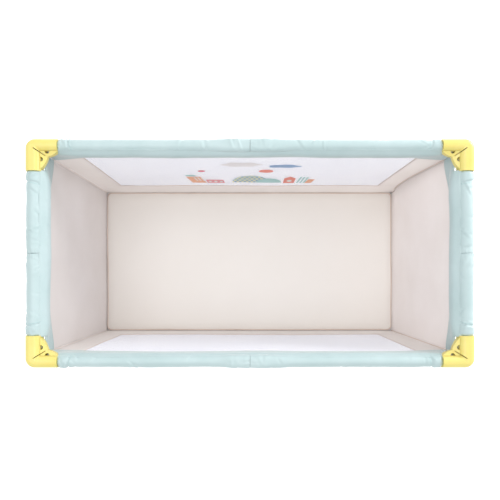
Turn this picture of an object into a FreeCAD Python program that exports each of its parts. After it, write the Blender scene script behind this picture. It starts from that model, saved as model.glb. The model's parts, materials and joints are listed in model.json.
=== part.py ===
"""Folding playpen: one STEP file per sub-part, in millimetres, +Z up.

The origin is on the ground under the middle of the pen. X runs along the long side, Y along
the short side, front is -Y and left is -X. The pen is drawn open, with its rails locked level
and its four base arms level. Every sub-part of the frame is drawn once, in the back-right
quarter or on the back or right rail, and mirrored into its other places.
"""

import FreeCAD, Part
import math
import os

# Driving dimensions of the open pen, in millimetres.
PEN_LENGTH = 1260.0
PEN_WIDTH = 642.0
RIM_HEIGHT = 763.0

# Corner posts and the two pivots that each one carries.
POST_INSET = (21.0, 17.0)        # from the pen's outside to a post's axis, in X and in Y
POST_RADIUS = 11.0
POST_TOP = 756.0
ARM_PIVOT_OFFSET = (29.0, 50.0)  # from a post's axis inwards to its base arm's pivot
RAIL_PIVOT_OFFSET = 40.0         # from a post's axis inwards to each rail's pivot
RAIL_Z = 740.0

# Tubes, pins and running clearances.
TUBE_WALL = 1.2
ARM_RADIUS = 9.0
RAIL_RADIUS = 11.0
PIN_RADIUS = 3.0
PIN_CLEARANCE = 0.08
SLOT_CLEARANCE = 1.6             # beside and above a tube in the channel that it turns in
LUG_SHARE = 1.0                  # length of a tube's end lug, in tube radii

# Corner brackets.
BRACKET_ARM = 90.0
BRACKET_CORNER_RADIUS = 27.0
BRACKET_BOTTOM = 725.0
BRACKET_EDGE_RADIUS = 15.5
WEB_BOTTOM = 733.0
WEB_TOP = 753.0                  # where the web's sloping faces leave the ridge
WEB_SLOPE = 0.42                 # fall of each face per millimetre away from its ridge
WEB_NOTCH = (19.0, 15.0)         # from the ridge's inner corner to the notch in the web's edge
WEB_BULGE = 2.5                  # how far each lobe of the edge swells past its chord
WEB_SHOULDER = 6.0               # from the end of the side arm to where the web's edge starts
RIVET_HEAD_RADIUS = 5.0
RIVET_HEAD_THICKNESS = 2.0
RIVET_RECESS = 1.5               # from a shank's outer end to the bracket's outside
RIVET_POCKET_RADIUS = 7.0        # the well in the web around a rivet's head
SLIT_SIZE = (36.0, 2.6)          # the moulded slit along the valley: length and width
SLIT_BOTTOM = 742.0
SLIT_OFFSET = (40.0, 37.0)       # its middle, from the bracket's outside faces
SLIT_ANGLE = 34.0

# Padded sleeves on the rails.
SLEEVE_RADIUS = {"x": 17.0, "y": 21.0}   # on the rails that run along X and along Y
SLEEVE_POST_GAP = {"x": 34.0, "y": 38.0}  # from a rail's bracket pivot to its sleeve
SLEEVE_LATCH_GAP = 23.0          # from a rail's latch pivot to its sleeve

# Latches in the middle of the rails.
LATCH_PIVOT = 26.0               # from a rail's middle to each half's pivot
LATCH_HALF_LENGTH = 45.0
LATCH_WALL = 2.3
LATCH_SIDE_TOP = 11.0            # height of the housing's sides above the rail's axis
BUTTON_CAP = (20.0, 12.0)
BUTTON_FLANGE = (24.0, 16.0, 2.0)
BUTTON_PROUD = 5.0
BUTTON_CLEARANCE = 0.3

# Base: feet, arms and hub.
ARM_Z = 32.0
FOOT_RADIUS = 17.0
FOOT_TOP = 60.0
FOOT_PAD_HEIGHT = 6.0
LUG_Z = (6.0, 44.0)
LUG_RADIUS = 17.0
LUG_WIDTH = 28.0
HUB_PIVOT = (37.0, 16.0)
HUB_HALF = (56.0, 35.0)
HUB_Z = (18.0, 44.5)
HUB_CORNER_RADIUS = 14.0
HUB_STUB_RADIUS = 22.0
STRAP_SIZE = (90.0, 25.0, 1.6)

# Fabric.
COVER_RADIUS = 13.0
WALL_THICKNESS = 2.0
WALL_INSIDE = (585.0, 284.0)     # from the pen's middle to the walls' inside faces
WALL_Z = (46.5, 732.0)
FLOOR_Z = 46.5
FLOOR_THICKNESS = 2.0
FLOOR_GAP = 1.5
MATTRESS_GAP = (3.0, 2.5)
MATTRESS_BOTTOM = 49.0
MATTRESS_THICKNESS = 27.0
MATTRESS_CORNER_RADIUS = 16.0

POST = (PEN_LENGTH / 2 - POST_INSET[0], PEN_WIDTH / 2 - POST_INSET[1])
FOOT_PIVOT = (POST[0] - ARM_PIVOT_OFFSET[0], POST[1] - ARM_PIVOT_OFFSET[1])
ARM_TURN = math.degrees(math.atan2(FOOT_PIVOT[1] - HUB_PIVOT[1], FOOT_PIVOT[0] - HUB_PIVOT[0]))
PIN_HOLE_RADIUS = PIN_RADIUS + PIN_CLEARANCE

UP = FreeCAD.Vector(0, 0, 1)
ALONG = {"x": FreeCAD.Vector(1, 0, 0), "y": FreeCAD.Vector(0, 1, 0)}
CORNERS = {
    "back_right": (1, 1),
    "back_left": (-1, 1),
    "front_right": (1, -1),
    "front_left": (-1, -1),
}
RAILS = {"back": ("x", 1), "front": ("x", -1), "right": ("y", 1), "left": ("y", -1)}


def point(x, y, z=0.0):
    """A point or direction."""
    return FreeCAD.Vector(x, y, z)


def block(x_range, y_range, z_range):
    """A box between two values on each axis."""
    low = point(x_range[0], y_range[0], z_range[0])
    size = [high - start for start, high in (x_range, y_range, z_range)]
    return Part.makeBox(*size, low)


def rod(radius, start, end):
    """A solid cylinder between two points."""
    return Part.makeCylinder(radius, (end - start).Length, start, end - start)


def pin(radius, length, middle, axis):
    """A solid cylinder centred on a point."""
    half = FreeCAD.Vector(axis).multiply(length / 2)
    return rod(radius, middle - half, middle + half)


def pipe(outer, inner, start, end):
    """A hollow cylinder between two points."""
    return rod(outer, start, end).cut(rod(inner, start, end))


def link(radius, start, end):
    """A tube between two level pivots, with a solid lug and a pin hole at each."""
    across = (end - start).cross(UP).normalize()
    shape = rod(radius, start, end)
    bore = rod(radius - TUBE_WALL, start, end)
    for pivot in (start, end):
        lug = pin(radius, LUG_SHARE * radius, pivot, across)
        shape = shape.fuse(lug)
        bore = bore.cut(lug)
    shape = shape.cut(bore)
    for pivot in (start, end):
        shape = shape.cut(pin(PIN_HOLE_RADIUS, 3 * radius, pivot, across))
    return shape.removeSplitter()


def turned_block(length_range, width, z_range, middle, degrees):
    """A box along a direction in the ground plane, measured from a point."""
    shape = block(length_range, (-width / 2, width / 2), z_range)
    shape.rotate(point(0, 0), UP, degrees)
    shape.translate(middle)
    return shape


def rounded_plate(half_x, half_y, z_range, radius):
    """A plate about the origin with rounded corners."""
    shape = block((-half_x, half_x), (-half_y, half_y), z_range)
    uprights = [edge for edge in shape.Edges if abs(edge.tangentAt(edge.FirstParameter).z) > 0.99]
    return shape.makeFillet(radius, uprights)


def mirrored(shape, sign_x, sign_y):
    """A copy of a back-right shape in the quarter that the signs name."""
    copy = shape.copy()
    if sign_x < 0 and sign_y < 0:
        copy.rotate(point(0, 0), UP, 180)
    elif sign_x < 0:
        copy = copy.mirror(point(0, 0), ALONG["x"])
    elif sign_y < 0:
        copy = copy.mirror(point(0, 0), ALONG["y"])
    return copy


def rail_frame(direction):
    """A function from a distance along a rail's axis, and a height over it, to a place."""
    if direction == "x":
        return lambda along, height=0.0: point(along, POST[1], RAIL_Z + height)
    return lambda along, height=0.0: point(POST[0], along, RAIL_Z + height)


def bracket_outline():
    """The ridge of a corner bracket seen from above: two arms that follow the rails."""
    out_x, out_y = PEN_LENGTH / 2, PEN_WIDTH / 2
    in_x, in_y = out_x - 2 * SLEEVE_RADIUS["y"], out_y - 2 * SLEEVE_RADIUS["x"]
    end_x, end_y = out_x - BRACKET_ARM, out_y - BRACKET_ARM
    radius = BRACKET_CORNER_RADIUS
    bend = point(out_x - radius, out_y - radius)
    middle = bend + point(math.cos(math.pi / 4), math.sin(math.pi / 4)).multiply(radius)
    return Part.Wire([
        Part.makeLine(point(end_x, in_y), point(end_x, out_y)),
        Part.makeLine(point(end_x, out_y), point(bend.x, out_y)),
        Part.Arc(point(bend.x, out_y), middle, point(out_x, bend.y)).toShape(),
        Part.makeLine(point(out_x, bend.y), point(out_x, end_y)),
        Part.makeLine(point(out_x, end_y), point(in_x, end_y)),
        Part.makeLine(point(in_x, end_y), point(in_x, in_y)),
        Part.makeLine(point(in_x, in_y), point(end_x, in_y)),
    ])


def lobe(start, end):
    """An edge of the web that swells away from the ridge's inner corner."""
    middle = (start + end).multiply(0.5)
    outwards = UP.cross(end - start).normalize().multiply(-WEB_BULGE)
    return Part.Arc(start, middle + outwards, end).toShape()


def wedge(inner, fall, run):
    """A block under a slope that starts at the web's top and drops along one direction."""
    top, low = inner + UP * WEB_TOP, inner + UP * (WEB_TOP - WEB_SLOPE * fall.Length)
    outline = Part.makePolygon([top, low, low + fall, top])
    return Part.Face(outline).extrude(run)


def bracket_web():
    """The gusset between a bracket's arms: two sloping faces that meet in a valley."""
    in_x = PEN_LENGTH / 2 - 2 * SLEEVE_RADIUS["y"]
    in_y = PEN_WIDTH / 2 - 2 * SLEEVE_RADIUS["x"]
    inner = point(in_x, in_y)
    start = point(PEN_LENGTH / 2 - BRACKET_ARM, in_y)
    end = point(in_x, PEN_WIDTH / 2 - BRACKET_ARM + WEB_SHOULDER)
    notch = inner - point(*WEB_NOTCH)
    outline = Part.Wire([
        lobe(start, notch), lobe(notch, end), Part.makeLine(end, inner), Part.makeLine(inner, start),
    ])
    plate = Part.Face(outline).extrude(UP * (WEB_TOP - WEB_BOTTOM))
    plate.translate(UP * WEB_BOTTOM)
    across_x, across_y = point(-BRACKET_ARM, 0), point(0, -BRACKET_ARM)
    web = plate.common(wedge(inner, across_x, across_y).fuse(wedge(inner, across_y, across_x)))
    for direction in ALONG:
        head = rivet_face(direction)
        well = [point(head.x, head.y, height) for height in (WEB_BOTTOM - 1, WEB_TOP + 1)]
        web = web.cut(rod(RIVET_POCKET_RADIUS, *well))
    return web


def rail_channel(direction):
    """The room inside a bracket where a rail's end turns: open below and at the arm's end."""
    place = rail_frame(direction)
    start = POST[0] if direction == "x" else POST[1]
    radius = RAIL_RADIUS + SLOT_CLEARANCE
    outer, reach = start - BRACKET_ARM, start - RAIL_PIVOT_OFFSET + radius
    top = rod(radius, place(outer), place(reach))
    side = across_rail(direction) * radius
    low = place(outer, BRACKET_BOTTOM - RAIL_Z - 1) - side
    high = place(reach) + side
    return top.fuse(block((low.x, high.x), (low.y, high.y), (low.z, high.z)))


def corner_bracket():
    """A moulded elbow over a post's top that carries both rails' pivots."""
    ridge = Part.Face(bracket_outline()).extrude(UP * (RIM_HEIGHT - BRACKET_BOTTOM))
    ridge.translate(UP * BRACKET_BOTTOM)
    end_x, end_y = PEN_LENGTH / 2 - BRACKET_ARM, PEN_WIDTH / 2 - BRACKET_ARM
    top_edges = [
        edge for edge in ridge.Edges
        if edge.BoundBox.ZMin > RIM_HEIGHT - 0.01
        and edge.BoundBox.XMax > end_x + 0.01 and edge.BoundBox.YMax > end_y + 0.01
    ]
    shape = ridge.makeFillet(BRACKET_EDGE_RADIUS, top_edges).fuse(bracket_web())
    for direction in ALONG:
        shape = shape.cut(rail_channel(direction))
    post_top = point(POST[0], POST[1], POST_TOP)
    shape = shape.cut(rod(POST_RADIUS, point(POST[0], POST[1], BRACKET_BOTTOM - 1), post_top))
    for direction in ALONG:
        shape = shape.cut(rail_pivot_pin(direction))
    length, width = SLIT_SIZE
    middle = point(PEN_LENGTH / 2 - SLIT_OFFSET[0], PEN_WIDTH / 2 - SLIT_OFFSET[1])
    slit_z = (SLIT_BOTTOM, RIM_HEIGHT + 1)
    slit = turned_block((-length / 2, length / 2), width, slit_z, middle, SLIT_ANGLE)
    return shape.cut(slit).removeSplitter()


def across_rail(direction):
    """The level direction across a rail, towards the pen's outside."""
    return ALONG["y" if direction == "x" else "x"]


def rivet_face(direction):
    """Where a rail's pivot meets the bracket arm's inner side."""
    along = POST[0] if direction == "x" else POST[1]
    middle = rail_frame(direction)(along - RAIL_PIVOT_OFFSET)
    return middle - across_rail(direction) * SLEEVE_RADIUS[direction]


def rail_pivot_pin(direction):
    """The shank of the rivet that a rail turns on, across its bracket arm."""
    inside = rivet_face(direction)
    length = 2 * SLEEVE_RADIUS[direction] - RIVET_RECESS
    return rod(PIN_RADIUS, inside, inside + across_rail(direction) * length)


def corner_rivets():
    """Both rails' pivot rivets and the base arm's, on one post."""
    rivets = []
    for direction in ALONG:
        face = rivet_face(direction)
        head = rod(RIVET_HEAD_RADIUS, face - across_rail(direction) * RIVET_HEAD_THICKNESS, face)
        rivets.append(rail_pivot_pin(direction).fuse(head).removeSplitter())
    rivets.append(arm_pin(FOOT_PIVOT, LUG_WIDTH - 2))
    return Part.makeCompound(rivets)


def arm_pin(place, length):
    """A pivot pin across a base arm."""
    turn = math.radians(ARM_TURN)
    return pin(PIN_RADIUS, length, point(*place, ARM_Z), point(-math.sin(turn), math.cos(turn)))


def arm_slot(place, inward, outward, z_range):
    """The slot that a base arm turns in, along the arm, round at the end behind the pivot."""
    width = 2 * (ARM_RADIUS + 0.6)
    middle = point(*place)
    return turned_block((inward, outward), width, z_range, middle, ARM_TURN)


def corner_foot():
    """A moulded foot around a post's end, with a forked lug for the base arm."""
    post = point(POST[0], POST[1])
    pivot = point(*FOOT_PIVOT)
    shape = rod(FOOT_RADIUS, post + UP * FOOT_PAD_HEIGHT, post + UP * FOOT_TOP)
    reach = (post - pivot).Length
    angle = math.degrees(math.atan2(post.y - pivot.y, post.x - pivot.x))
    shape = shape.fuse(turned_block((0, reach), LUG_WIDTH, LUG_Z, pivot, angle))
    shape = shape.fuse(rod(LUG_RADIUS, pivot + UP * LUG_Z[0], pivot + UP * LUG_Z[1]))
    slot_z = (ARM_Z - ARM_RADIUS - 0.6, LUG_Z[1] + 1)
    shape = shape.cut(arm_slot(FOOT_PIVOT, -2 * LUG_RADIUS, ARM_RADIUS + 1, slot_z))
    shape = shape.cut(arm_pin(FOOT_PIVOT, LUG_WIDTH - 2))
    shape = shape.cut(rod(POST_RADIUS, post + UP * FOOT_PAD_HEIGHT, post + UP * (FOOT_TOP + 1)))
    return shape.removeSplitter()


def foot_pad():
    """The rubber pad under a post."""
    post = point(POST[0], POST[1])
    disc = rod(FOOT_RADIUS, post, post + UP * FOOT_PAD_HEIGHT)
    lower = [edge for edge in disc.Edges if edge.BoundBox.ZMax < 0.01]
    return disc.makeFillet(1.5, lower)


def leg_tube():
    """A corner post."""
    post = point(POST[0], POST[1])
    inner = POST_RADIUS - TUBE_WALL
    return pipe(POST_RADIUS, inner, post + UP * FOOT_PAD_HEIGHT, post + UP * POST_TOP)


def post_cover():
    """The fabric sleeve around a post, between its foot and its bracket."""
    post = point(POST[0], POST[1])
    return pipe(COVER_RADIUS, POST_RADIUS, post + UP * FOOT_TOP, post + UP * BRACKET_BOTTOM)


def base_arm():
    """A tube from a foot's pivot to the hub's pivot."""
    return link(ARM_RADIUS, point(*HUB_PIVOT, ARM_Z), point(*FOOT_PIVOT, ARM_Z))


def rail_half(direction):
    """Half of a top rail, from its latch pivot to its bracket pivot."""
    place = rail_frame(direction)
    end = POST[0] if direction == "x" else POST[1]
    return link(RAIL_RADIUS, place(LATCH_PIVOT), place(end - RAIL_PIVOT_OFFSET))


def rail_sleeve(direction):
    """The padded sleeve around half of a top rail."""
    place = rail_frame(direction)
    end = (POST[0] if direction == "x" else POST[1]) - RAIL_PIVOT_OFFSET
    return pipe(
        SLEEVE_RADIUS[direction], RAIL_RADIUS,
        place(LATCH_PIVOT + SLEEVE_LATCH_GAP), place(end - SLEEVE_POST_GAP[direction]),
    )


def on_rail(shape, direction):
    """A shape drawn about the origin along X, moved to the middle of a rail."""
    moved = shape.copy()
    if direction == "y":
        moved.rotate(point(0, 0), UP, 90)
    moved.translate(rail_frame(direction)(0))
    return moved


def latch_housing():
    """A channel open at the top, with the pins that both rail halves turn on."""
    inside = RAIL_RADIUS + SLOT_CLEARANCE - 0.4
    outside = inside + LATCH_WALL
    length = (-LATCH_HALF_LENGTH, LATCH_HALF_LENGTH)
    shape = block(length, (-outside, outside), (-outside, LATCH_SIDE_TOP))
    shape = shape.cut(block((-100, 100), (-inside, inside), (-inside, LATCH_SIDE_TOP + 1)))
    window = [size / 2 + BUTTON_CLEARANCE for size in BUTTON_CAP]
    shape = shape.cut(block((-window[0], window[0]), (-window[1], window[1]), (-outside - 1, 0)))
    pins = []
    for side in (-1, 1):
        shank = pin(PIN_RADIUS, 2 * outside, point(side * LATCH_PIVOT, 0), ALONG["y"])
        shape = shape.cut(shank)
        pins.append(shank)
    return Part.makeCompound([shape, *pins])


def latch_button():
    """The release button, which pushes up through the housing's floor."""
    inside = RAIL_RADIUS + SLOT_CLEARANCE - 0.4
    floor = -inside
    half_x, half_y = BUTTON_CAP[0] / 2, BUTTON_CAP[1] / 2
    bottom = floor - LATCH_WALL - BUTTON_PROUD
    cap = rounded_plate(half_x, half_y, (bottom, floor + 1), 3)
    lower = [edge for edge in cap.Edges if edge.BoundBox.ZMax < bottom + 0.01]
    cap = cap.makeFillet(1.5, lower)
    wide_x, wide_y, thickness = BUTTON_FLANGE
    flange_z = (floor + BUTTON_CLEARANCE, floor + BUTTON_CLEARANCE + thickness)
    flange = rounded_plate(wide_x / 2, wide_y / 2, flange_z, 2)
    return cap.fuse(flange).removeSplitter()


def hub_housing():
    """The moulded hub over the four arms' pivots, open below so that the arms can hang.

    A round stub under it rests on the ground, with the four pins as solids of their own.
    """
    shape = rounded_plate(*HUB_HALF, HUB_Z, HUB_CORNER_RADIUS)
    slot_z = (HUB_Z[0] - 1, ARM_Z + ARM_RADIUS + 0.6)
    slot = arm_slot(HUB_PIVOT, -ARM_RADIUS - 1, 2 * HUB_HALF[0], slot_z)
    shank = arm_pin(HUB_PIVOT, 2 * ARM_RADIUS + 8)
    pins = []
    for signs in CORNERS.values():
        shape = shape.cut(mirrored(slot, *signs)).cut(mirrored(shank, *signs))
        pins.append(mirrored(shank, *signs))
    stub = rod(HUB_STUB_RADIUS, point(0, 0), point(0, 0, HUB_Z[0]))
    lower = [edge for edge in stub.Edges if edge.BoundBox.ZMax < 0.01]
    shape = shape.fuse(stub.makeFillet(2, lower))
    return Part.makeCompound([shape.removeSplitter(), *pins])


def pull_strap():
    """The webbing on the hub that lifts it when the pen is folded."""
    length, width, thickness = STRAP_SIZE
    return rounded_plate(length / 2, width / 2, (HUB_Z[1], HUB_Z[1] + thickness), 4)


def walls():
    """The four fabric walls, as flat sheets between the posts."""
    in_x, in_y = WALL_INSIDE
    gap = 2 * WALL_THICKNESS
    back = block((-in_x + gap, in_x - gap), (in_y, in_y + WALL_THICKNESS), WALL_Z)
    right = block((in_x, in_x + WALL_THICKNESS), (-in_y + gap, in_y - gap), WALL_Z)
    return {
        "back_wall": back,
        "front_wall": mirrored(back, 1, -1),
        "right_wall": right,
        "left_wall": mirrored(right, -1, 1),
    }


def floor_sheet():
    """The fabric floor, over the base arms."""
    half = [inside - FLOOR_GAP for inside in WALL_INSIDE]
    return block((-half[0], half[0]), (-half[1], half[1]), (FLOOR_Z, FLOOR_Z + FLOOR_THICKNESS))


def mattress():
    """The loose padded mattress on the floor."""
    half = [inside - gap for inside, gap in zip(WALL_INSIDE, MATTRESS_GAP)]
    z_range = (MATTRESS_BOTTOM, MATTRESS_BOTTOM + MATTRESS_THICKNESS)
    return rounded_plate(*half, z_range, MATTRESS_CORNER_RADIUS)


def build():
    """Every sub-part by name."""
    nodes = {}
    quarter = {
        "leg_tube": leg_tube(),
        "corner_bracket": corner_bracket(),
        "corner_rivets": corner_rivets(),
        "corner_foot": corner_foot(),
        "foot_pad": foot_pad(),
        "post_cover": post_cover(),
        "base_arm": base_arm(),
    }
    for corner, signs in CORNERS.items():
        for name, shape in quarter.items():
            nodes[f"{name}_{corner}"] = mirrored(shape, *signs)
    for rail, (direction, side) in RAILS.items():
        signs = (1, side) if direction == "x" else (side, 1)
        flip = (-1, 1) if direction == "x" else (1, -1)
        for name, shape in (("tube", rail_half(direction)), ("sleeve", rail_sleeve(direction))):
            far = mirrored(shape, *signs)
            nodes[f"{rail}_{name}_b"] = far
            nodes[f"{rail}_{name}_a"] = mirrored(far, *flip)
        for name, shape in (("housing", latch_housing()), ("button", latch_button())):
            nodes[f"{rail}_latch_{name}"] = mirrored(on_rail(shape, direction), *signs)
    nodes["hub_housing"] = hub_housing()
    nodes["pull_strap"] = pull_strap()
    nodes.update(walls())
    nodes["floor_sheet"] = floor_sheet()
    nodes["mattress"] = mattress()
    return nodes


def main():
    """Writes every sub-part."""
    os.makedirs("parts", exist_ok=True)
    for name, shape in build().items():
        shape.exportStep(f"parts/{name}.step")


if __name__ == "__main__":
    main()
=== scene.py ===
"""Folding playpen: the visual model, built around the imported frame.

Places are in metres, in the frame's own axes: +X to the right along the pen's long side, +Y to
the back and +Z up. Soft goods replace their plain CAD solids; tubes, brackets, feet, latches and
the hub keep their CAD shapes and get finished materials.
"""

import json
import logging
import math
from collections.abc import Callable, Iterator, Sequence
from contextlib import contextmanager
from dataclasses import dataclass, field
from enum import Enum

import bmesh
import bpy
import numpy as np
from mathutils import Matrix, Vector


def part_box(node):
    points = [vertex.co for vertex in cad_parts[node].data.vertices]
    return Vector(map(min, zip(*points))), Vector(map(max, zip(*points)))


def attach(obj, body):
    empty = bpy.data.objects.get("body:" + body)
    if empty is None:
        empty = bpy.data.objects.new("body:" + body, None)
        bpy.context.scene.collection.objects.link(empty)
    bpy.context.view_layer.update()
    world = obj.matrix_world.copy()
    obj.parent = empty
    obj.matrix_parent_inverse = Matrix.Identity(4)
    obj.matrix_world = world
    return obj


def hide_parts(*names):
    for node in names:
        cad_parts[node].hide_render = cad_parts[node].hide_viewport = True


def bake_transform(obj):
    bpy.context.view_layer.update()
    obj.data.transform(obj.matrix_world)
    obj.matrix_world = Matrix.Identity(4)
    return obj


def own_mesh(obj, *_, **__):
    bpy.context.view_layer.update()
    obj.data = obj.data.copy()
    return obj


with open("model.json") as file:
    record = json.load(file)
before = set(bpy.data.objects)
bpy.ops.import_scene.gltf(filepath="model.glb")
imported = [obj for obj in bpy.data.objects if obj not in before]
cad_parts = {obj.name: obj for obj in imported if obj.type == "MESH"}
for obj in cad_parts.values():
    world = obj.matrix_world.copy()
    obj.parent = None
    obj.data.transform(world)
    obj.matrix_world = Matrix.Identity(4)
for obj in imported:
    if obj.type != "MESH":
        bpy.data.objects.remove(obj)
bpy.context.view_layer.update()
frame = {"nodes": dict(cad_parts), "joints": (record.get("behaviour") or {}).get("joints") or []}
LOG = logging.getLogger("playpen")

UP = np.array((0.0, 0.0, 1.0))
WEAVE_MAP = "weave"
FOLD_JOINT = "frame_fold"
WALL_MARGIN = 0.0015
SEAM_INSET = 0.0012
FULL_TURN = 2 * math.pi
CORNERS = ("front_left", "front_right", "back_left", "back_right")
Colour = tuple[float, float, float]


class Rail(Enum):
    """The pen's four sides, each with a top rail and a wall."""

    FRONT = "front"
    BACK = "back"
    LEFT = "left"
    RIGHT = "right"


# Small helpers


def linear(red: int, green: int, blue: int) -> Colour:
    """Turns a display colour into the linear colour that shaders use.

    Args:
        red: display red, 0 to 255.
        green: display green, 0 to 255.
        blue: display blue, 0 to 255.

    Returns:
        The linear colour, 0 to 1.
    """
    parts = (value / 255 for value in (red, green, blue))
    return tuple(p / 12.92 if p <= 0.04045 else ((p + 0.055) / 1.055) ** 2.4 for p in parts)


def ripple(points: np.ndarray, seed: int, size: float, octaves: int = 3) -> np.ndarray:
    """Gives smooth seeded noise at points in space.

    Args:
        points: array of places whose last axis is x, y, z.
        seed: fixes the noise.
        size: length of the largest waves, in metres.
        octaves: how many times the waves are halved.

    Returns:
        Values of about -1 to 1, one for each point.
    """
    waves_each = 9
    draw = np.random.default_rng(seed)
    total = np.zeros(points.shape[:-1])
    for octave in range(octaves):
        waves = draw.normal(size=(waves_each, 3))
        waves *= 2 * math.pi * 2**octave / size / np.linalg.norm(waves, axis=1, keepdims=True)
        phases = draw.uniform(0, 2 * math.pi, waves_each)
        total += np.sin(points @ waves.T + phases).sum(-1) / (math.sqrt(waves_each) * 2**octave)
    return 0.8 * total


def bump(values: np.ndarray, centre: float, width: float) -> np.ndarray:
    """Gives a smooth hill of height 1 around a centre.

    Args:
        values: where to take the hill's height.
        centre: where it is highest.
        width: how far it reaches each way.

    Returns:
        The hill's height at each value.
    """
    return np.exp(-(((values - centre) / width) ** 2))


def smooth_step(values: np.ndarray, low: float, high: float) -> np.ndarray:
    """Gives a smooth rise from 0 at low to 1 at high."""
    share = np.clip((values - low) / (high - low), 0, 1)
    return share * share * (3 - 2 * share)


def link_object(name: str, mesh: bpy.types.Mesh, material: bpy.types.Material) -> bpy.types.Object:
    """Puts a mesh in the scene as an object at the origin, shaded smooth, with one material."""
    mesh.materials.append(material)
    mesh.polygons.foreach_set("use_smooth", [True] * len(mesh.polygons))
    piece = bpy.data.objects.new(name, mesh)
    bpy.context.scene.collection.objects.link(piece)
    return piece


@dataclass
class Surface:
    """A grid of points with its own weave coordinates.

    Attributes:
        points: rows by columns by x, y, z.
        weave: rows by columns by 2, in metres along and across the cloth; a round surface has
            one more column, where it meets itself again.
        round: the last column joins the first.
        capped: the first and last rows are closed with a face.
    """

    points: np.ndarray
    weave: np.ndarray
    round: bool = False
    capped: bool = False

    def build(self, name: str, material: bpy.types.Material) -> bpy.types.Object:
        """Makes the surface an object.

        Args:
            name: the piece's name.
            material: its finish.

        Returns:
            The new object, at the origin.
        """
        rows, columns = self.points.shape[:2]
        span = columns if self.round else columns - 1
        row, column = (grid.ravel() for grid in np.meshgrid(range(rows - 1), range(span), indexing="ij"))
        beside = (column + 1) % columns
        quads = np.stack([row * columns + column, row * columns + beside,
                          (row + 1) * columns + beside, (row + 1) * columns + column], 1)
        corners = np.stack([self.weave[row, column], self.weave[row, column + 1],
                            self.weave[row + 1, column + 1], self.weave[row + 1, column]], 1)
        faces, cloth = quads.tolist(), corners.reshape(-1, 2).tolist()
        if self.capped:
            last = (rows - 1) * columns
            faces += [list(range(columns))[::-1], list(range(last, last + columns))]
            cloth += self.weave[0, :columns][::-1].tolist() + self.weave[-1, :columns].tolist()
        mesh = bpy.data.meshes.new(name)
        mesh.from_pydata(self.points.reshape(-1, 3).tolist(), [], faces)
        layer = mesh.uv_layers.new(name=WEAVE_MAP)
        layer.data.foreach_set("uv", np.array(cloth, np.float32).ravel())
        if self.capped:
            face_outwards(mesh)
        mesh.update()
        return link_object(name, mesh, material)


@contextmanager
def editing(mesh: bpy.types.Mesh) -> Iterator[bmesh.types.BMesh]:
    """Opens a mesh for editing, then writes it back."""
    work = bmesh.new()
    work.from_mesh(mesh)
    yield work
    work.to_mesh(mesh)
    work.free()


def face_outwards(mesh: bpy.types.Mesh) -> None:
    """Turns a closed mesh's faces outwards."""
    with editing(mesh) as work:
        bmesh.ops.recalc_face_normals(work, faces=work.faces)


def places_of(mesh: bpy.types.Mesh) -> np.ndarray:
    """Gives a mesh's points, one row each."""
    return np.array([vertex.co for vertex in mesh.vertices])


def move_to(mesh: bpy.types.Mesh, places: np.ndarray) -> None:
    """Moves a mesh's points to new places."""
    mesh.vertices.foreach_set("co", places.astype(np.float32).ravel())


def weave_round(run: np.ndarray, sides: int, radius: float) -> np.ndarray:
    """Gives a tube's weave coordinates: distance along it and distance round it."""
    around = np.arange(sides + 1) * 2 * math.pi * radius / sides
    return np.stack(np.meshgrid(run, around, indexing="ij"), -1)


def thicken(piece: bpy.types.Object, thickness: float, offset: float = 0.0) -> bpy.types.Object:
    """Gives a cloth piece its thickness, with a Solidify modifier that stays live."""
    solid = piece.modifiers.new("cloth_thickness", "SOLIDIFY")
    solid.thickness = thickness
    solid.offset = offset
    return piece


def settle(piece: bpy.types.Object) -> bpy.types.Object:
    """Turns a piece's evaluated shape into its own plain mesh and drops its modifiers."""
    bpy.context.view_layer.update()
    shape = piece.evaluated_get(bpy.context.evaluated_depsgraph_get())
    mesh = bpy.data.meshes.new_from_object(shape)
    piece.modifiers.clear()
    piece.data = mesh
    return piece


def tube_along(path: np.ndarray, radius: float, sides: int = 8) -> Surface:
    """Makes a closed tube along a path.

    Args:
        path: points along the tube's middle.
        radius: the tube's radius.
        sides: faces around it.

    Returns:
        The tube's surface.
    """
    tangents = np.gradient(path, axis=0)
    tangents /= np.linalg.norm(tangents, axis=1, keepdims=True)
    spare = UP if abs(tangents[0] @ UP) < 0.9 else np.array((1.0, 0.0, 0.0))
    across = np.cross(tangents, spare)
    across /= np.linalg.norm(across, axis=1, keepdims=True)
    other = np.cross(tangents, across)
    turn = np.linspace(0, FULL_TURN, sides, endpoint=False)
    ring = across[:, None] * np.cos(turn)[None, :, None] + other[:, None] * np.sin(turn)[None, :, None]
    points = path[:, None] + radius * ring
    run = np.concatenate([[0], np.cumsum(np.linalg.norm(np.diff(path, axis=0), axis=1))])
    return Surface(points, weave_round(run, sides, radius), round=True, capped=True)


# Shader groups


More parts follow.
